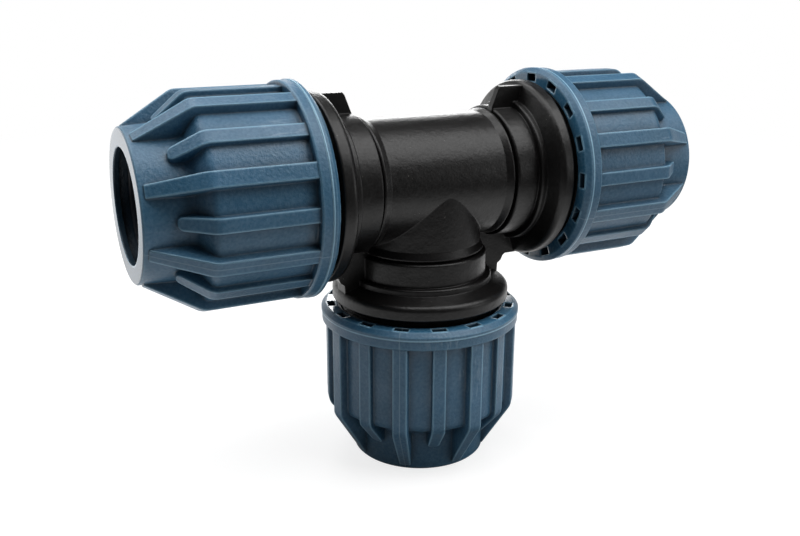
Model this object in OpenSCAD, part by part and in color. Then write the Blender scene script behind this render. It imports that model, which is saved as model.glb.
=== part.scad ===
// Equal compression tee for plastic water pipe: a moulded tee body with three
// threaded necks, each closed by a ribbed nut over a split grip ring, a thrust
// bush and a rubber seal. The run lies along X, the branch points down, and the
// origin is the centre of the branch mouth, where the fitting stands.

/* [Pipe and seal] */
// Outside diameter of the pipe
pipe_diameter = 40; // [38:0.5:42]
// Gap round the pipe in the sockets and the nut mouths
pipe_clearance = 0.3; // [0.2:0.05:0.6]
// Thickness of the rubber seal
seal_section = 4.6; // [4:0.1:5.5]
// Play of the seal and the bush in their seat
seat_clearance = 0.1; // [0.05:0.05:0.2]

/* [Tee body] */
// Step that stops the pipe in its socket
stop_step = 1.4; // [1:0.1:2.5]
// Distance from the middle of the tee to the pipe stop
stop_distance = 30; // [28:0.5:33]
// Wall of the plain barrel
barrel_wall = 5.5; // [4.5:0.1:6]
// How much slimmer the branch barrel is than the run barrel
branch_step = 0.3; // [0.2:0.1:1]
// Wall of the socket collar
collar_wall = 5.9; // [5:0.1:6.5]
// Distance from the middle of the tee to the collar
collar_start = 28.4; // [27:0.2:29]
// Length of the collar
collar_length = 9.2; // [8:0.1:10]
// Extra radius of the shoulder behind the flange
shoulder_step = 2.3; // [1.5:0.1:3]
// Length of the shoulder
shoulder_length = 2.4; // [1.5:0.1:3.5]
// Thickness of the stop flange
flange_thickness = 7.6; // [6:0.2:9]
// Height of the stop flange above the neck
flange_height = 5.2; // [4:0.1:7]
// Slope of the flange's barrel side, over its whole height
flange_draft = 2.4; // [0.4:0.2:2.8]
// Rounding of the flange edge on the barrel side
flange_round = 2.4; // [1.5:0.1:3]
// Length of the threaded neck
neck_length = 26.4; // [24:0.2:27]
// Wall of the neck under the thread
neck_wall = 5.2; // [4:0.1:6]
// Depth of the seat for the seal and the bush
seat_depth = 15.8; // [14:0.2:17]
// Thickness of the lugs on top, behind the run flanges
lug_thickness = 3; // [2:0.2:6]
// Distance from the middle plane to the middle of a lug
lug_offset = 4.2; // [0:0.2:6]
// Height of the lugs, measured from the port axis
lug_reach = 34; // [31:0.2:35]
// Thickness of the web that joins two flanges in a corner
web_thickness = 7.2; // [4:0.2:8]

/* [Thread] */
// Rise of the nut in one turn
thread_pitch = 5; // [4:0.25:6]
// Height of the thread
thread_height = 1.7; // [1.2:0.1:2]
// Width of the thread at its foot
thread_foot = 2.5; // [2:0.1:2.6]
// Width of the thread at its crest
thread_crest = 1.2; // [0.8:0.1:1.5]
// Gap between the two threads
thread_clearance = 0.4; // [0.3:0.05:0.6]

/* [Nut] */
// Length of the nut
nut_length = 63; // [60:0.5:66]
// Gap left between the nut and the stop flange
nut_gap = 2.8; // [2.6:0.1:6]
// Wall of the nut outside its thread
nut_wall = 3.8; // [3.2:0.1:4.3]
// Length of the nut's flange
nut_flange_length = 7; // [5:0.2:9]
// Height of the nut's flange above the plain wall
nut_flange_height = 3.9; // [3.7:0.1:5]
// Length of the nut's slim end, from the bend of the ribs to the mouth
nut_taper_length = 20.6; // [18:0.2:23]
// Length of the shoulder between the plain wall and the slim end
nut_shoulder_length = 4.7; // [4:0.1:8]
// Rounding of the shoulder at both its ends
shoulder_round = 3; // [1:0.5:4]
// Extra radius of the slim end where it meets the shoulder
nut_neck_draft = 0.9; // [0.2:0.1:1.6]
// Wall of the nut at its mouth
mouth_wall = 6.7; // [5.5:0.1:7.5]
// Length of the lip that guides the pipe
lip_length = 2.2; // [1.5:0.1:3]
// Number of long ribs, with as many short ones between
long_ribs = 8; // [6:1:10]
// Width of a long rib at its crest
long_rib_width = 5.1; // [4:0.1:6.5]
// Width of a short rib at its crest
short_rib_width = 4.5; // [3.6:0.1:6]
// Extra width of a rib where it meets the wall
rib_draft = 1; // [0:0.1:1.5]
// Height of a long rib
long_rib_height = 3; // [2.6:0.1:3.3]
// Height of a short rib
short_rib_height = 2; // [1.4:0.1:2.4]
// Rounding of the ribs where they bend towards the mouth
bend_round = 6; // [3:0.5:8]
// Distance from the end of a long rib to the mouth
rib_end_gap = 1.8; // [1:0.2:4]
// Height left at the end of a long rib
rib_end_height = 0.4; // [0.2:0.1:0.8]
// Length of a short rib beyond the bend
short_rib_run = 9.8; // [7:0.2:12]
// Height left at the end of a short rib
short_end_height = 1.5; // [0.8:0.1:2]
// Depth of the pockets in the nut's end face
pocket_depth = 5; // [2:0.2:5.4]
// Width of a pocket
pocket_width = 5.6; // [4:0.1:6.5]
// Radial height of a pocket
pocket_height = 3; // [2:0.1:3.4]
// Wall between a pocket and the thread
pocket_wall = 2.3; // [1.8:0.1:2.8]
// Angles of the long ribs on the left, right and branch nuts
rib_angles = [21.7, 21.5, 38.7];

/* [Grip ring and bush] */
// Gap between the grip ring and the nut's cone
cone_clearance = 0.3; // [0.2:0.05:0.4]
// Taper of the cone, in radius over length
cone_taper = 0.19; // [0.15:0.01:0.22]
// Gap between the grip ring and the bush
ring_gap = 3.6; // [3:0.2:8]
// Wall of the grip ring at its thin end
ring_wall = 2.4; // [2.2:0.1:3]
// Extra bore of the grip ring round the pipe while it is slack
ring_slack = 0.05; // [0:0.05:0.2]
// Depth of the grip ring's teeth
tooth_depth = 1; // [0.6:0.1:1.4]
// Distance from one tooth to the next
tooth_pitch = 3; // [2.5:0.5:4]
// Width of the slit in the grip ring
slit_width = 5; // [3:0.5:8]
// Thickness of the bush's rim
bush_rim = 2.4; // [1.6:0.2:2.6]
// Height of the bush's rim above the seat
bush_rim_height = 2.6; // [1.5:0.1:3]

/* [Hidden] */
$fn = 96;
eps = 0.01;
over = 1;

// Radii, from the pipe outwards
pipe_r = pipe_diameter / 2;
passage_r = pipe_r - stop_step;
barrel_r = passage_r + barrel_wall;
socket_r = pipe_r + pipe_clearance;
collar_r = socket_r + collar_wall;
shoulder_r = collar_r + shoulder_step;
seat_r = socket_r + seal_section + seat_clearance;
neck_r = seat_r + neck_wall;
thread_r = neck_r + thread_height;
flange_r = neck_r + flange_height;
nut_bore_r = thread_r + thread_clearance;
nut_r = nut_bore_r + nut_wall;
nut_flange_r = nut_r + nut_flange_height;
mouth_r = socket_r + mouth_wall;
pocket_r = nut_bore_r + pocket_wall;

// Distances from the middle of the tee, along a port
shoulder_start = collar_start + collar_length;
flange_start = shoulder_start + shoulder_length;
flange_end = flange_start + flange_thickness;
neck_end = flange_end + neck_length;
seat_floor = neck_end - seat_depth;
nut_start = flange_end + nut_gap;
port_length = nut_start + nut_length;

// Distances from the nut's end face
bend = nut_length - nut_taper_length;
wall_end = bend - 0.9;
slim_start = wall_end + nut_shoulder_length;
thread_room = neck_length - nut_gap + bush_rim + 1.5;
lip_start = nut_length - lip_length;
ring_front = lip_start - 3.3;
ring_back = neck_end - nut_start + 0.3 + bush_rim + ring_gap;
ring_length = ring_front - ring_back;
cone_front_r = socket_r + ring_wall + cone_clearance;

// Radius of the nut's inner cone at a distance from its end face
function cone_r(n) = cone_front_r + cone_taper * (ring_front - n);

// Radius of the nut's slim end at a distance from its end face
function slim_r(n) =
    mouth_r + nut_neck_draft * (nut_length - 0.5 - n) / (nut_length - 0.5 - slim_start);

// Points of an arc about c, from angle a to angle b
function arc(c, r, a, b, n = 6) =
    [for (i = [0:n]) c + r * [cos(a + (b - a) * i / n), sin(a + (b - a) * i / n)]];

// Points that round off the corner p between a and b
function rounded(a, p, b, r, n) =
    let (u = (a - p) / norm(a - p), v = (b - p) / norm(b - p), half = acos(u * v) / 2,
         c = p + (u + v) / norm(u + v) * r / sin(half),
         d = p + u * r / tan(half) - c, e = p + v * r / tan(half) - c)
    [for (i = [0:n]) let (m = d + (e - d) * i / n) c + m * r / norm(m)];

// Turn a port's own frame, axis up, to where the port is on the fitting
module left_port()   { translate([0, 0, port_length]) rotate([0, -90, 0]) children(); }
module right_port()  { translate([0, 0, port_length]) rotate([0, 90, 0]) children(); }
module branch_port() { translate([0, 0, port_length]) rotate([180, 0, 0]) children(); }

// Plate in the plane of the port axis, from points of radius and distance
module radial_plate(points, width) {
    rotate([90, 0, 0]) linear_extrude(height = width, center = true) polygon(points);
}

// Helical ridge round the axis, from distance a to b: foot_r and crest_r are the radii
// of its foot and crest, and both ends run out smoothly
module helix(a, b, foot_r, crest_r, phase) {
    turn_steps = 30;
    steps = round((b - a) / thread_pitch * turn_steps);
    fade = turn_steps / 3;
    points = [for (i = [0:steps])
        let (h = min(1, i / fade, (steps - i) / fade) * 0.97 + 0.03,
             z = a + (b - a) * i / steps,
             t = 360 * z / thread_pitch + phase,
             top = foot_r + (crest_r - foot_r) * h,
             f = thread_foot / 2 + 0.15, c = f + (thread_crest / 2 - f) * h)
        each [[foot_r * cos(t), foot_r * sin(t), z - f], [foot_r * cos(t), foot_r * sin(t), z + f],
              [top * cos(t), top * sin(t), z + c], [top * cos(t), top * sin(t), z - c]]];
    // seen from the start, the four points run one way round outwards, the other inwards
    flip = crest_r < foot_r;
    sides = [for (i = [0:steps - 1], j = [0:3])
        let (p = 4 * i + j, q = 4 * i + (j + 1) % 4)
        each flip ? [[p, q, q + 4], [p, q + 4, p + 4]] : [[p, q + 4, q], [p, p + 4, q + 4]]];
    ends = flip ? [[3, 2, 1, 0], [for (j = [0:3]) 4 * steps + j]]
                : [[0, 1, 2, 3], [for (j = [3:-1:0]) 4 * steps + j]];
    polyhedron(points = points, faces = concat(sides, ends), convexity = 10);
}

// Thread on a neck of the tee
module outer_thread() {
    sink = 0.4;
    helix(flange_end + 0.7 * thread_pitch, neck_end - 0.4 * thread_pitch,
          neck_r - sink, thread_r, 0);
}

// Thread in a nut, half a pitch from the other at rest
module inner_thread() {
    sink = 0.4;
    helix(nut_start + 0.5 * thread_pitch, nut_start + thread_room - 0.7 * thread_pitch,
          nut_bore_r + sink, neck_r + thread_clearance, 180);
}

// Collar, shoulder, stop flange and neck, turned as one profile
module port_outside() {
    edge = 0.7;
    groove = 0.7;
    rotate_extrude() polygon(concat(
        [[passage_r, 0], [barrel_r - branch_step - groove, 0],
         [barrel_r - branch_step - groove, collar_start],
         [collar_r - edge, collar_start]],
        arc([collar_r - edge, collar_start + edge], edge, -90, 0, 3),
        [[collar_r, shoulder_start]],
        arc([shoulder_r - edge, shoulder_start + edge], edge, -90, 0, 3),
        [[shoulder_r, flange_start]],
        rounded([shoulder_r, flange_start], [flange_r, flange_start + flange_draft],
                [flange_r, flange_end], flange_round, 8),
        arc([flange_r - edge, flange_end - edge], edge, 0, 90, 3),
        [[neck_r, flange_end], [neck_r, neck_end - 1], [neck_r - 1, neck_end],
         [passage_r, neck_end]]));
}

// Plain barrel of a port, ending in a small rounded bead before the collar
module port_barrel(r) {
    bead = 1.1;
    rotate_extrude() polygon(concat(
        [[0, 0], [r, 0], [r, collar_start - 4]],
        arc([r + bead - 0.8, collar_start - 1.4], 0.8, -35, 90, 5),
        [[0, collar_start - 0.6]]));
}

// Lug between the collar and the back of the flange, to one side of the middle plane
module lug() {
    foot = collar_r - 2;
    rim = flange_start + flange_draft + 1.6;
    translate([0, lug_offset, 0])
        radial_plate([[foot, collar_start - 0.6], [collar_r, collar_start - 0.2],
                      [lug_reach - 1, collar_start + 2.5], [lug_reach, collar_start + 3.4],
                      [lug_reach, rim], [foot, rim]],
                     lug_thickness);
}

// Plate that ties the run flange to the branch flange in the corner
module corner_web() {
    near = barrel_r - 3;
    far = flange_start + flange_draft + 1.2;
    reach = flange_r - 0.8;
    radial_plate([[near, near], [far, near], [far, reach + 0.5], [reach + 3.6, reach + 0.5],
                  [reach + 2.5, reach + 1.3], [reach + 1.7, reach + 3.1],
                  [reach, reach + 4.4], [reach - 0.2, far], [near, far]], web_thickness);
}

// Everything of a port that stands outside its bores
module port_solid(r) {
    port_barrel(r);
    port_outside();
    outer_thread();
}

// Water passage, pipe socket and seal seat of a port
module port_inside(r) {
    cylinder(r = r, h = stop_distance + over);
    translate([0, 0, stop_distance]) cylinder(r = socket_r, h = port_length);
    translate([0, 0, seat_floor]) cylinder(r = seat_r, h = port_length);
}

module tee_body() {
    color([0.05, 0.05, 0.055])
    difference() {
        union() {
            left_port() {
                port_solid(barrel_r);
                lug();
            }
            right_port() {
                port_solid(barrel_r);
                rotate([0, 0, 180]) lug();
            }
            branch_port() {
                port_solid(barrel_r - branch_step);
                corner_web();
                mirror([1, 0, 0]) corner_web();
            }
        }
        left_port() port_inside(passage_r);
        right_port() port_inside(passage_r);
        branch_port() port_inside(passage_r - branch_step);
    }
}

// Flange, wall, shoulder and slim end of the nut, without its ribs
module nut_outside() {
    bevel = 1.8;
    edge = 0.5;
    step = 3.1;
    start = [nut_r, nut_flange_length];
    shoulder = [nut_r, wall_end];
    slim = [slim_r(slim_start), slim_start];
    end = [mouth_r, nut_length - edge];
    rotate_extrude() polygon(concat(
        [[nut_bore_r, 0], [nut_flange_r - bevel - 0.1, 0], [nut_flange_r, bevel],
         [nut_flange_r, step], [nut_flange_r - 0.25, step],
         [nut_flange_r - 0.25, nut_flange_length - edge],
         [nut_flange_r - 0.25 - edge, nut_flange_length], start],
        rounded(start, shoulder, slim, shoulder_round, 4),
        rounded(shoulder, slim, end, shoulder_round, 4),
        [end, [mouth_r - edge, nut_length], [socket_r, nut_length]]));
}

// A rib: its side profile, cut to a width that narrows outwards and to the mouth, with
// the corners at its end rounded
module rib(points, width, last, corner) {
    crest = width / 2;
    foot = crest + rib_draft / 2;
    inner = mouth_r - 4;
    outer = nut_flange_r + 1;
    narrow = foot - (foot - crest * 0.86) * (last - bend + 4) / (nut_taper_length + 4);
    intersection() {
        radial_plate(points, 3 * width);
        linear_extrude(height = nut_length + over)
            polygon([[inner, -foot - 0.5], [nut_r, -foot], [outer, -crest],
                     [outer, crest], [nut_r, foot], [inner, foot + 0.5]]);
        rotate([90, 0, 90]) linear_extrude(height = outer + over)
            polygon(concat(
                [[-foot, 0], [foot, 0], [foot, bend - 4]],
                arc([narrow - corner, last - corner], corner, 0, 90, 4),
                arc([corner - narrow, last - corner], corner, 90, 180, 4),
                [[-foot, bend - 4]]));
    }
}

module long_rib() {
    last = nut_length - rib_end_gap;
    start = [nut_r + long_rib_height, nut_flange_length - 1];
    end = [slim_r(last) + rib_end_height, last + 0.1];
    rib(concat([[mouth_r - 3, nut_flange_length - 1], start],
               rounded(start, [nut_r + long_rib_height, bend], end, bend_round, 5),
               [end, [mouth_r - 3, last + 0.1]]), long_rib_width, last, 0.4);
}

// A short rib falls more steeply than a long one and ends bluntly before the mouth
module short_rib() {
    crest = nut_r + short_rib_height;
    last = bend + short_rib_run;
    start = [crest, nut_flange_length - 1];
    end = [slim_r(last) + short_end_height, last + 0.1];
    rib(concat([[mouth_r - 3, nut_flange_length - 1], start],
               rounded(start, [crest, bend - 0.8], end, bend_round, 5),
               [end, [mouth_r - 3, last + 0.1]]), short_rib_width, last, 1.7);
}

// Hollow of the nut: thread bore, cone for the grip ring, guiding lip
module nut_inside() {
    rotate_extrude() polygon([
        [0, -over], [nut_bore_r + 1.2, -over], [nut_bore_r + 1.2, 0],
        [nut_bore_r, 1.2], [nut_bore_r, thread_room],
        [cone_r(thread_room + 1), thread_room + 1],
        [cone_front_r, ring_front], [cone_front_r, lip_start],
        [socket_r, lip_start], [socket_r, nut_length + over], [0, nut_length + over]]);
}

module nut_pockets() {
    for (i = [0:2 * long_ribs - 1])
        rotate([0, 0, i * 180 / long_ribs])
            translate([pocket_r, -pocket_width / 2, -over])
                cube([pocket_height, pocket_width, pocket_depth + over]);
}

module nut(angle) {
    inner_thread();
    translate([0, 0, nut_start]) rotate([0, 0, angle])
    difference() {
        union() {
            nut_outside();
            for (i = [0:long_ribs - 1]) {
                rotate([0, 0, i * 360 / long_ribs]) long_rib();
                rotate([0, 0, (i + 0.5) * 360 / long_ribs]) short_rib();
            }
        }
        nut_inside();
        nut_pockets();
    }
}

// Split ring: conical outside, saw teeth inside that lean against the pull
module grip_ring() {
    bore = socket_r + ring_slack;
    teeth = floor((ring_length - 4) / tooth_pitch);
    back_r = cone_r(ring_back) - cone_clearance;
    front_r = cone_front_r - cone_clearance;
    translate([0, 0, nut_start + ring_back])
    difference() {
        rotate_extrude() polygon(concat(
            [[bore + 0.8, 0], [back_r - 0.6, 0], [back_r, 0.8],
             [front_r, ring_length - 0.4], [front_r - 0.4, ring_length],
             [bore + 0.4, ring_length], [bore, ring_length - 0.4]],
            [for (i = [0:teeth - 1], p = [0, 1])
                let (z = ring_length - 1.6 - i * tooth_pitch)
                p == 0 ? [bore, z] : [bore + tooth_depth, z - 0.4]],
            [[bore, ring_length - 1.6 - teeth * tooth_pitch], [bore, 0.8]]));
        translate([0, -slit_width / 2, -over])
            cube([back_r + over, slit_width, ring_length + 2 * over]);
    }
}

// Bush that presses the seal into its seat, with a rim on the neck's end
module bush() {
    front = neck_end + 0.3;
    back = seat_floor + seal_section + 2 * seat_clearance;
    rotate_extrude() polygon([
        [socket_r + 0.1, back], [seat_r - 0.15, back], [seat_r - 0.15, front],
        [seat_r + bush_rim_height - 0.4, front], [seat_r + bush_rim_height, front + 0.4],
        [seat_r + bush_rim_height, front + bush_rim], [socket_r + 0.9, front + bush_rim],
        [socket_r + 0.1, front + bush_rim - 0.8]]);
}

module seal() {
    translate([0, 0, seat_floor + seat_clearance + seal_section / 2])
        rotate_extrude()
            translate([socket_r + seat_clearance / 2 + seal_section / 2, 0])
                circle(d = seal_section);
}

module left_nut() { color([0.28, 0.42, 0.54]) left_port() nut(rib_angles[0]); }
module left_grip_ring() { color([0.2, 0.22, 0.26]) left_port() grip_ring(); }
module left_bush() { color([0.12, 0.12, 0.13]) left_port() bush(); }
module left_seal() { color([0.03, 0.03, 0.03]) left_port() seal(); }

module right_nut() { color([0.28, 0.42, 0.54]) right_port() nut(rib_angles[1]); }
module right_grip_ring() { color([0.2, 0.22, 0.26]) right_port() grip_ring(); }
module right_bush() { color([0.12, 0.12, 0.13]) right_port() bush(); }
module right_seal() { color([0.03, 0.03, 0.03]) right_port() seal(); }

module branch_nut() { color([0.28, 0.42, 0.54]) branch_port() nut(rib_angles[2]); }
module branch_grip_ring() { color([0.2, 0.22, 0.26]) branch_port() grip_ring(); }
module branch_bush() { color([0.12, 0.12, 0.13]) branch_port() bush(); }
module branch_seal() { color([0.03, 0.03, 0.03]) branch_port() seal(); }

tee_body();
left_nut();
left_grip_ring();
left_bush();
left_seal();
right_nut();
right_grip_ring();
right_bush();
right_seal();
branch_nut();
branch_grip_ring();
branch_bush();
branch_seal();
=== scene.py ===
import math

import bpy
from mathutils import Matrix, Vector

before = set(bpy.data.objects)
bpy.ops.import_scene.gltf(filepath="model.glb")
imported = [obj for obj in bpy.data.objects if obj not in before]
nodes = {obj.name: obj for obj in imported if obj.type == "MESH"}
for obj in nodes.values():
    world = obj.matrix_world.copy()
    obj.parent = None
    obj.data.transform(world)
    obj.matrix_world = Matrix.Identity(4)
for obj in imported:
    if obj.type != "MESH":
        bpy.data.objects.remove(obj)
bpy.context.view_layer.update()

MM = 0.001
# The three port axes cross here, and each port's direction out of the fitting
MIDDLE = Vector((0.0, 0.0, 0.1134))
PORTS = {"left": Vector((-1, 0, 0)), "right": Vector((1, 0, 0)), "branch": Vector((0, 0, -1))}
# How far out along its port each nut has its open face, the small step round its flange, and
# its mouth face, and the radius that the inside of its mouth stays within
OPEN_FACE = 50.4 * MM
FLANGE_STEP = 53.4 * MM
MOUTH_FACE = 113.4 * MM
MOUTH_RADIUS = 26.5 * MM


def linear(hex_colour):
    """The linear RGBA of an sRGB colour written as hex digits."""
    parts = [int(hex_colour[i:i + 2], 16) / 255 for i in (0, 2, 4)]
    return tuple(c / 12.92 if c <= 0.04045 else ((c + 0.055) / 1.055) ** 2.4
                 for c in parts) + (1.0,)


def add(tree, kind, inputs=(), **settings):
    """Adds a shader node with its settings, and sets or links each named or numbered input. A
    node given as an input is linked by its first output in use. A Map Range has its value at
    input 0, the range it comes from at 1 and 2 and the one it goes to at 3 and 4. A Mix has its
    amount at 0, and what it mixes at 2 and 3, or at 6 and 7 where those are colours."""
    made = tree.nodes.new(kind)
    for name, value in settings.items():
        setattr(made, name, value)
    for name, value in dict(inputs).items():
        if isinstance(value, bpy.types.Node):
            value = next(output for output in value.outputs if output.enabled)
        if isinstance(value, bpy.types.NodeSocket):
            tree.links.new(value, made.inputs[name])
        else:
            made.inputs[name].default_value = value
    return made


def new_material(name):
    """An empty material, and its node tree."""
    material = bpy.data.materials.new(name)
    material.use_nodes = True
    material.node_tree.nodes.clear()
    return material, material.node_tree


def nut_polypropylene(name, port, seam_angle, knock):
    """Polypropylene moulded in a spark-eroded cavity: matt and finely grained, a little darker in
    drifts of pigment, with scuffed crests and a parting line of the mould along one pair of ribs.
    The two end faces come from the polished parts of the mould, so they are smooth and shine."""
    material, tree = new_material(name)
    axis = PORTS[port]
    place = add(tree, "ShaderNodeTexCoord").outputs["Object"]
    from_middle = add(tree, "ShaderNodeVectorMath", {0: place, 1: MIDDLE}, operation="SUBTRACT")
    along = add(tree, "ShaderNodeVectorMath", {0: from_middle, 1: axis}, operation="DOT_PRODUCT")
    outward = add(tree, "ShaderNodeVectorMath", {0: from_middle, 1: [1 - abs(c) for c in axis]},
                  operation="MULTIPLY")
    outward = add(tree, "ShaderNodeVectorMath", {0: outward}, operation="LENGTH")
    from_step = add(tree, "ShaderNodeMath", {0: along, 1: FLANGE_STEP}, operation="SUBTRACT")
    from_step = add(tree, "ShaderNodeMath", {0: from_step}, operation="ABSOLUTE")
    # 1 on the grained wall, and 0 on the two polished end faces
    past_open_face = add(tree, "ShaderNodeMapRange", {
        0: along, 1: OPEN_FACE + 0.05 * MM, 2: OPEN_FACE + 0.2 * MM})
    before_mouth_face = add(tree, "ShaderNodeMapRange", {
        0: along, 1: MOUTH_FACE - 0.2 * MM, 2: MOUTH_FACE - 0.05 * MM, 3: 1.0, 4: 0.0})
    wall = add(tree, "ShaderNodeMath", {0: past_open_face, 1: before_mouth_face},
               operation="MULTIPLY")

    # pigment in drifts about 22 mm wide
    drift = add(tree, "ShaderNodeTexNoise", {"Vector": place, "Scale": 1 / (22 * MM), "Detail": 3})
    drift = add(tree, "ShaderNodeMapRange", {0: drift, 1: 0.3, 2: 0.7})
    colour = add(tree, "ShaderNodeMix", {0: drift, 6: linear("26536E"), 7: linear("32607F")},
                 data_type="RGBA")
    # the grain of the cavity is about 0.3 mm, drawn 1.1 mm wide so that it shows
    pits = add(tree, "ShaderNodeTexNoise", {"Vector": place, "Scale": 1 / (1.1 * MM), "Detail": 3})
    worn = add(tree, "ShaderNodeMapRange", {0: pits, 1: 0.35, 2: 0.7, 4: 0.2})
    colour = add(tree, "ShaderNodeMix", {0: worn, 6: colour, 7: linear("7393A8")},
                 data_type="RGBA")
    # handling scuffs: streaks 7 mm long and 1 mm wide along the port, in a few patches and where
    # the crest of one rib was knocked
    along_streak = add(tree, "ShaderNodeMapping", {"Vector": place, "Scale": [
        (1 / 7 if c else 1.0) / MM for c in axis]})
    streaks = add(tree, "ShaderNodeTexNoise", {"Vector": along_streak, "Scale": 1, "Detail": 3})
    streaks = add(tree, "ShaderNodeMapRange", {0: streaks, 1: 0.54, 2: 0.68})
    patch = add(tree, "ShaderNodeTexNoise", {"Vector": place, "Scale": 1 / (30 * MM), "Detail": 1})
    patch = add(tree, "ShaderNodeMapRange", {0: patch, 1: 0.67, 2: 0.76})
    knocked = add(tree, "ShaderNodeVectorMath", {0: place, 1: knock}, operation="DISTANCE")
    knocked = add(tree, "ShaderNodeMapRange", {0: knocked, 1: 10 * MM, 2: 6 * MM})
    patch = add(tree, "ShaderNodeMath", {0: patch, 1: knocked}, operation="MAXIMUM")
    scuff = add(tree, "ShaderNodeMath", {0: streaks, 1: patch}, operation="MULTIPLY")
    scuff = add(tree, "ShaderNodeMath", {0: scuff, 1: 0.28}, operation="MULTIPLY")
    colour = add(tree, "ShaderNodeMix", {0: scuff, 6: colour, 7: linear("8CA2B0")},
                 data_type="RGBA")
    # painted highlight along the convex edges of the crests, and painted shade at the feet of the
    # ribs
    crest = add(tree, "ShaderNodeAmbientOcclusion", {"Distance": 0.9 * MM}, samples=8,
                inside=True, only_local=True).outputs["AO"]
    painted_edge_highlight = add(tree, "ShaderNodeMapRange", {0: crest, 1: 0.95, 2: 0.6, 4: 0.7})
    colour = add(tree, "ShaderNodeMix", {0: painted_edge_highlight, 6: colour, 7: linear("8AB6D0")},
                 data_type="RGBA")
    # painted shade: darker in the corners at the feet of the ribs, where shade falls
    foot = add(tree, "ShaderNodeAmbientOcclusion", {"Distance": 5 * MM}, samples=8,
               only_local=True).outputs["AO"]
    painted_foot_shade = add(tree, "ShaderNodeMapRange", {0: foot, 1: 0.92, 2: 0.45, 4: 0.75})
    colour = add(tree, "ShaderNodeMix", {0: painted_foot_shade, 6: colour, 7: linear("0D1B26")},
                 data_type="RGBA")
    # the parting line lies in a plane through the port's axis, and is 0.25 mm wide
    normal = Matrix.Rotation(seam_angle, 3, axis) @ Vector((0, 1, 0)).cross(axis)
    seam = add(tree, "ShaderNodeVectorMath", {0: from_middle, 1: normal}, operation="DOT_PRODUCT")
    seam = add(tree, "ShaderNodeMath", {0: seam}, operation="ABSOLUTE")
    seam = add(tree, "ShaderNodeMapRange", {0: seam, 1: 0.10 * MM, 2: 0.26 * MM, 3: 1.0, 4: 0.0})
    seam = add(tree, "ShaderNodeMath", {0: seam, 1: 0.5}, operation="MULTIPLY")
    colour = add(tree, "ShaderNodeMix", {0: seam, 6: colour, 7: linear("7C99AC")},
                 data_type="RGBA")
    # the step round the flange is 0.25 mm high, and a painted highlight line runs along its outer
    # edge
    painted_rim_highlight = add(tree, "ShaderNodeMapRange", {
        0: from_step, 1: 0.25 * MM, 2: 0.45 * MM, 3: 0.65, 4: 0.0})
    outside = add(tree, "ShaderNodeMapRange", {0: outward, 1: 38.5 * MM, 2: 39.0 * MM})
    painted_rim_highlight = add(tree, "ShaderNodeMath", {0: painted_rim_highlight, 1: outside}, operation="MULTIPLY")
    colour = add(tree, "ShaderNodeMix", {0: painted_rim_highlight, 6: colour, 7: linear("9AC2D8")},
                 data_type="RGBA")
    # painted shade: inside the mouth the colour is darker, where shade falls
    painted_mouth_shade = add(tree, "ShaderNodeMapRange", {
        0: outward, 1: MOUTH_RADIUS + 0.1 * MM, 2: MOUTH_RADIUS - 0.1 * MM, 4: 0.8})
    painted_mouth_shade = add(tree, "ShaderNodeMath", {0: painted_mouth_shade, 1: wall}, operation="MULTIPLY")
    colour = add(tree, "ShaderNodeMix", {0: painted_mouth_shade, 6: colour, 7: linear("08111A")},
                 data_type="RGBA")

    # edges are rounded by 1 mm, apart from the step round the flange, which is smaller
    radius = add(tree, "ShaderNodeMapRange", {
        0: from_step, 1: 1.0 * MM, 2: 1.4 * MM, 3: 0.1 * MM, 4: 1.0 * MM})
    edges = add(tree, "ShaderNodeBevel", {"Radius": radius}, samples=8)
    height = add(tree, "ShaderNodeMath", {0: pits, 1: wall}, operation="MULTIPLY")
    bump = add(tree, "ShaderNodeBump", {
        "Strength": 0.8, "Distance": 0.24 * MM, "Height": height, "Normal": edges})
    rough = add(tree, "ShaderNodeTexNoise", {"Vector": place, "Scale": 1 / (9 * MM)})
    rough = add(tree, "ShaderNodeMapRange", {0: rough, 1: 0.3, 2: 0.7, 3: 0.38, 4: 0.48})
    rough = add(tree, "ShaderNodeMix", {0: wall, 2: 0.16, 3: rough}, data_type="FLOAT")
    shader = add(tree, "ShaderNodeBsdfPrincipled", {
        "Base Color": colour, "Roughness": rough, "IOR": 1.49, "Normal": bump})
    add(tree, "ShaderNodeOutputMaterial", {"Surface": shader})
    return material


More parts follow.
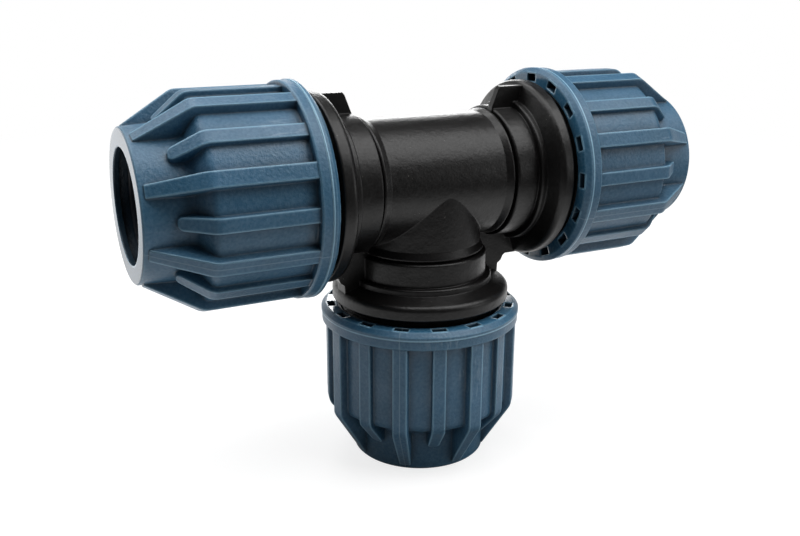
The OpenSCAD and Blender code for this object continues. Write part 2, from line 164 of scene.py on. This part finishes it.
def body_polypropylene():
    """Carbon-black polypropylene from a finely blasted mould: satin, with a soft broad highlight
    that breaks up into fine sparkle, shallow shrink marks and a few pale specks, partly settled
    dirt and partly painted glints."""
    material, tree = new_material("body_black_polypropylene_moulded")
    place = add(tree, "ShaderNodeTexCoord").outputs["Object"]
    drift = add(tree, "ShaderNodeTexNoise", {"Vector": place, "Scale": 1 / (30 * MM)})
    drift = add(tree, "ShaderNodeMapRange", {0: drift, 1: 0.35, 2: 0.65})
    colour = add(tree, "ShaderNodeMix", {0: drift, 6: linear("0B0A0A"), 7: linear("100F0F")},
                 data_type="RGBA")
    # pale specks: partly settled dirt, partly painted glints that make the highlight sparkle
    dust_and_glints = add(tree, "ShaderNodeTexNoise", {"Vector": place, "Scale": 1 / MM, "Detail": 1})
    dust_and_glints = add(tree, "ShaderNodeMapRange", {0: dust_and_glints, 1: 0.77, 2: 0.84, 4: 0.4})
    colour = add(tree, "ShaderNodeMix", {0: dust_and_glints, 6: colour, 7: linear("8E8B86")},
                 data_type="RGBA")
    # blasting grain of 0.3 mm, drawn 0.9 mm wide, on shrink marks about 5 mm wide
    pits = add(tree, "ShaderNodeTexNoise", {"Vector": place, "Scale": 1 / (0.9 * MM), "Detail": 3})
    shrink = add(tree, "ShaderNodeTexNoise", {"Vector": place, "Scale": 1 / (5 * MM)})
    height = add(tree, "ShaderNodeMath", {0: shrink, 1: 3.0, 2: pits}, operation="MULTIPLY_ADD")
    edges = add(tree, "ShaderNodeBevel", {"Radius": 0.6 * MM}, samples=6)
    bump = add(tree, "ShaderNodeBump", {
        "Strength": 0.4, "Distance": 0.14 * MM, "Height": height, "Normal": edges})
    # the blasting leaves some grains shinier than others, which makes the highlight sparkle
    rough = add(tree, "ShaderNodeMapRange", {0: pits, 1: 0.3, 2: 0.7, 3: 0.30, 4: 0.41})
    shader = add(tree, "ShaderNodeBsdfPrincipled", {
        "Base Color": colour, "Roughness": rough, "IOR": 1.49, "Specular IOR Level": 0.34,
        "Normal": bump})
    add(tree, "ShaderNodeOutputMaterial", {"Surface": shader})
    return material


def inner_plastic(name, dark, light, rough_low, rough_high, size):
    """An unpainted inner moulding: one colour in faint drifts over a fine grain of that size."""
    material, tree = new_material(name)
    place = add(tree, "ShaderNodeTexCoord").outputs["Object"]
    drift = add(tree, "ShaderNodeTexNoise", {"Vector": place, "Scale": 1 / (10 * MM), "Detail": 3})
    drift = add(tree, "ShaderNodeMapRange", {0: drift, 1: 0.3, 2: 0.7})
    colour = add(tree, "ShaderNodeMix", {0: drift, 6: linear(dark), 7: linear(light)},
                 data_type="RGBA")
    pits = add(tree, "ShaderNodeTexNoise", {"Vector": place, "Scale": 1 / size})
    bump = add(tree, "ShaderNodeBump", {"Strength": 0.4, "Distance": 0.04 * MM, "Height": pits})
    rough = add(tree, "ShaderNodeMapRange", {0: pits, 1: 0.3, 2: 0.7, 3: rough_low, 4: rough_high})
    shader = add(tree, "ShaderNodeBsdfPrincipled", {
        "Base Color": colour, "Roughness": rough, "IOR": 1.48, "Normal": bump})
    add(tree, "ShaderNodeOutputMaterial", {"Surface": shader})
    return material


def dress(node_names, material):
    """Every material slot of these CAD nodes shows the material."""
    for name in node_names:
        for slot in nodes[name].material_slots:
            slot.material = material


dress(["tee_body"], body_polypropylene())
# Each nut has its parting line at its own angle round the port, and its own knocked rib
dress(["left_nut"], nut_polypropylene(
    "left_nut_polypropylene_moulded", "left", math.radians(-23.3), (-0.0660, -0.0270, 0.1403)))
dress(["right_nut"], nut_polypropylene(
    "right_nut_polypropylene_moulded", "right", math.radians(21.5), (0.0925, -0.0345, 0.1283)))
dress(["branch_nut"], nut_polypropylene(
    "branch_nut_polypropylene_moulded", "branch", math.radians(38.7), (0.0046, -0.0389, 0.0420)))
# Acetal grip rings, harder and shinier than the bushes, and dull rubber seals
dress([port + "_grip_ring" for port in PORTS],
      inner_plastic("grip_ring_acetal_moulded", "20242B", "2A2F38", 0.30, 0.42, 0.6 * MM))
dress([port + "_bush" for port in PORTS],
      inner_plastic("bush_polypropylene_moulded", "161719", "1D1E21", 0.42, 0.55, 0.6 * MM))
dress([port + "_seal" for port in PORTS],
      inner_plastic("seal_rubber_moulded", "0B0B0C", "131314", 0.55, 0.7, 0.5 * MM))


# Strengths of the light that falls from all round, and of what reflections see: the floor close
# by, the room in front, the lit backdrop behind, and the ceiling
AMBIENT = 0.06
NEAR_FLOOR = 1.6
DIM_FRONT = 0.08
BRIGHT_BACK = 1.5
CEILING = 0.08
WHITE = (1, 1, 1, 1)
BLACK = (0, 0, 0, 1)
# The object's shadow on the floor fades out between these distances from its middle, in metres
SHADOW_FROM, SHADOW_TO = 0.3, 0.9


def pale_floor():
    """A pale plain floor. What the camera sees of it is mostly its own white, so the object's
    shadow stays as a faint patch under it. Reflections show it white behind the object and
    dim in front, as in a room with a lit backdrop."""
    material, tree = new_material("floor_pale_paint")
    place = add(tree, "ShaderNodeTexCoord").outputs["Object"]
    away = add(tree, "ShaderNodeVectorMath", {0: place}, operation="LENGTH")
    # for the camera, the shadow takes a part of the white near the object, and none further out
    open_floor = add(tree, "ShaderNodeMapRange", {0: away, 1: SHADOW_FROM, 2: SHADOW_TO})
    shaded = add(tree, "ShaderNodeMix", {0: open_floor, 6: (0.3, 0.3, 0.3, 1), 7: BLACK},
                 data_type="RGBA")
    shaded = add(tree, "ShaderNodeBsdfDiffuse", {"Color": shaded})
    glow = add(tree, "ShaderNodeMapRange", {
        0: away, 1: SHADOW_FROM, 2: SHADOW_TO, 3: 0.78, 4: 1.0})
    glow = add(tree, "ShaderNodeEmission", {"Color": WHITE, "Strength": glow})
    white = add(tree, "ShaderNodeAddShader", {0: shaded, 1: glow})
    # for reflections, the room is bright behind and dim in front, beyond the floor close by
    behind = add(tree, "ShaderNodeSeparateXYZ", {0: place}).outputs["Y"]
    room = add(tree, "ShaderNodeMapRange", {
        0: behind, 1: -0.1, 2: 0.5, 3: DIM_FRONT, 4: BRIGHT_BACK})
    beyond = add(tree, "ShaderNodeMapRange", {0: away, 1: 0.12, 2: 0.4})
    lit = add(tree, "ShaderNodeMix", {0: beyond, 2: NEAR_FLOOR, 3: room}, data_type="FLOAT")
    # painted shadow: what reflections see of the floor is dimmed right under the object
    outside_painted_shadow = add(tree, "ShaderNodeMapRange", {0: away, 1: 0.05, 2: 0.12, 3: 0.1, 4: 1.0})
    lit = add(tree, "ShaderNodeMath", {0: lit, 1: outside_painted_shadow}, operation="MULTIPLY")
    backdrop = add(tree, "ShaderNodeEmission", {"Color": WHITE, "Strength": lit})
    paint = add(tree, "ShaderNodeBsdfDiffuse", {"Color": linear("A8A8A8")})
    path = add(tree, "ShaderNodeLightPath").outputs
    unseen = add(tree, "ShaderNodeMixShader", {0: path["Is Glossy Ray"], 1: paint, 2: backdrop})
    seen = add(tree, "ShaderNodeMath", {0: path["Is Camera Ray"], 1: path["Is Transmission Ray"]},
               operation="MAXIMUM")
    mixed = add(tree, "ShaderNodeMixShader", {0: seen, 1: unseen, 2: white})
    add(tree, "ShaderNodeOutputMaterial", {"Surface": mixed})

    mesh = bpy.data.meshes.new("floor")
    reach = 20.0
    mesh.from_pydata([(-reach, -reach, 0), (reach, -reach, 0), (reach, reach, 0),
                      (-reach, reach, 0)], [], [(0, 1, 2, 3)])
    mesh.materials.append(material)
    floor = bpy.data.objects.new("floor", mesh)
    bpy.context.scene.collection.objects.link(floor)


def studio_world():
    """A white backdrop for the camera, a soft even light for everything else, and for
    reflections a room that is bright behind the object and dim in front of it."""
    world = bpy.data.worlds.new("studio")
    bpy.context.scene.world = world
    world.use_nodes = True
    tree = world.node_tree
    tree.nodes.clear()
    way = add(tree, "ShaderNodeTexCoord").outputs["Generated"]
    way = add(tree, "ShaderNodeSeparateXYZ", {0: way}).outputs
    backdrop = add(tree, "ShaderNodeMapRange", {
        0: way["Y"], 1: 0.35, 2: 0.8, 3: DIM_FRONT, 4: BRIGHT_BACK})
    # the backdrop ends a little above the object, where the ceiling starts
    above = add(tree, "ShaderNodeMapRange", {0: way["Z"], 1: 0.15, 2: 0.4})
    room = add(tree, "ShaderNodeMix", {0: above, 2: backdrop, 3: CEILING}, data_type="FLOAT")
    path = add(tree, "ShaderNodeLightPath").outputs
    unseen = add(tree, "ShaderNodeMix", {0: path["Is Glossy Ray"], 2: AMBIENT, 3: room},
                 data_type="FLOAT")
    seen = add(tree, "ShaderNodeMath", {0: path["Is Camera Ray"], 1: path["Is Transmission Ray"]},
               operation="MAXIMUM")
    strength = add(tree, "ShaderNodeMix", {0: seen, 2: unseen, 3: 1.0}, data_type="FLOAT")
    background = add(tree, "ShaderNodeBackground", {"Color": WHITE, "Strength": strength})
    add(tree, "ShaderNodeOutputWorld", {"Surface": background})


def direction(azimuth, elevation):
    """The way out from the object at these angles in degrees. Azimuth 0 is the front."""
    a, e = math.radians(azimuth), math.radians(elevation)
    return Vector((math.sin(a) * math.cos(e), -math.cos(a) * math.cos(e), math.sin(e)))


def soft_box(name, azimuth, elevation, distance, size, watts):
    """A square studio lamp that looks at the middle of the object."""
    way = direction(azimuth, elevation)
    lamp = bpy.data.lights.new(name, "AREA")
    lamp.shape = "SQUARE"
    lamp.size = size
    lamp.energy = watts
    placed = bpy.data.objects.new(name, lamp)
    placed.location = Vector((0, 0, 0.09)) + way * distance
    placed.rotation_euler = way.to_track_quat("Z", "Y").to_euler()
    bpy.context.scene.collection.objects.link(placed)


def photo_camera():
    """The camera of the photograph: where it stood, which way it looked and how long its lens
    is."""
    azimuth, elevation, roll = -26.828, 17.548, math.radians(0.235)
    stand = Vector((-0.16717, -0.31270, 0.18799))
    back = direction(azimuth, elevation)
    right = Vector((math.cos(math.radians(azimuth)), math.sin(math.radians(azimuth)), 0))
    up = back.cross(right)
    right, up = (right * math.cos(roll) + up * math.sin(roll),
                 up * math.cos(roll) - right * math.sin(roll))
    data = bpy.data.cameras.new("photo_camera")
    data.sensor_width = 36.0
    data.lens = 41.42
    data.clip_start = 0.01
    data.clip_end = 50.0
    camera = bpy.data.objects.new("photo_camera", data)
    turned = Matrix((right, up, back)).transposed().to_4x4()
    camera.matrix_world = Matrix.Translation(stand) @ turned
    bpy.context.scene.collection.objects.link(camera)
    bpy.context.scene.camera = camera


pale_floor()
studio_world()
# Azimuth and elevation in degrees, distance and size in metres, watts
soft_box("key", 53, 56, 1.0, 0.75, 6.9)
soft_box("side", 50, 9, 1.0, 0.4, 1.3)
soft_box("top", 0, 86, 1.0, 0.5, 2.5)
soft_box("top_left", -95, 68, 1.0, 0.6, 3.6)
soft_box("back_left", -130, 40, 1.0, 0.5, 2.6)
soft_box("back", 180, 55, 1.0, 0.4, 2.2)
soft_box("behind", 153, 16, 1.3, 0.36, 3.0)
photo_camera()
bpy.context.scene.view_settings.view_transform = "Standard"
